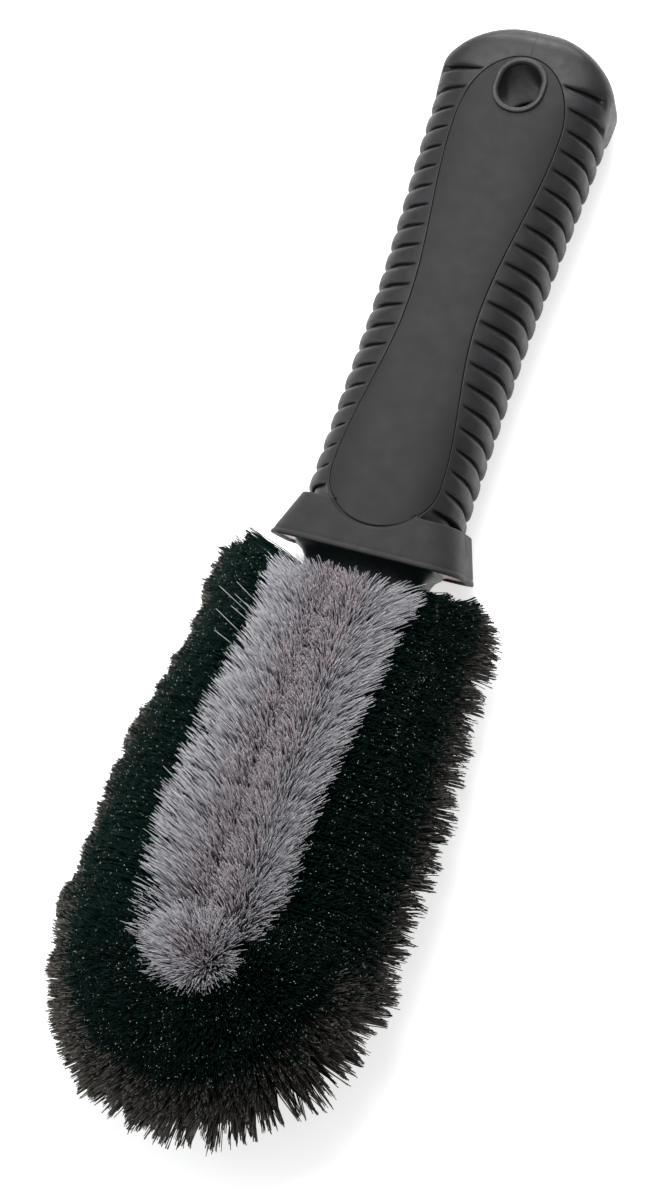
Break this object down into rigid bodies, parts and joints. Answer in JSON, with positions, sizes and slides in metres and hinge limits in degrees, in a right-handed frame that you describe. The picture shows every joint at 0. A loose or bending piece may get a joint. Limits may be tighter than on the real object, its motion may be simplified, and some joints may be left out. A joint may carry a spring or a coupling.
{
  "type": "wheel brush",
  "caption": "Hand-held wheel cleaning brush with a ribbed rubber grip, a guard collar, and a rounded head of stiff outer bristles around a soft centre strip.",
  "frame": {"origin": "bottom centre of the bounding box, with the brush lying on its back", "axes": "+Y along the brush towards the hanging end of the grip, +Z out of the bristle face, X across"},
  "size_m": [0.076, 0.2674, 0.0429],
  "materials": {
    "block_plastic": "satin moulded plastic",
    "core_plastic": "dark red moulded plastic",
    "eyelet_plastic": "satin",
    "grip_rubber": "matte soft-touch rubber",
    "panel_rubber": "smooth matte rubber",
    "soft_bristle": "grey synthetic filament",
    "stiff_bristle": "black synthetic filament",
    "anchor_metal": "plain wire strip"
  },
  "bodies": {
    "root": {"brush_block": "block_plastic", "handle_core": "core_plastic", "hang_eyelet": "eyelet_plastic", "grip_sleeve": "grip_rubber", "front_panel": "panel_rubber", "back_panel": "panel_rubber", "collar_guard": "grip_rubber", "soft_tufts_left": "soft_bristle", "soft_tufts_right": "soft_bristle", "soft_end_tuft": "soft_bristle", "inner_tufts_left": "stiff_bristle", "inner_tufts_right": "stiff_bristle", "inner_tufts_nose": "stiff_bristle", "outer_tufts_left": "stiff_bristle", "outer_tufts_right": "stiff_bristle", "outer_tufts_nose": "stiff_bristle", "rim_tufts_left": "stiff_bristle", "rim_tufts_right": "stiff_bristle", "rim_tufts_nose": "stiff_bristle", "anchors_soft": "anchor_metal", "anchors_inner": "anchor_metal", "anchors_outer": "anchor_metal", "anchors_rim": "anchor_metal"}
  },
  "joints": []
}
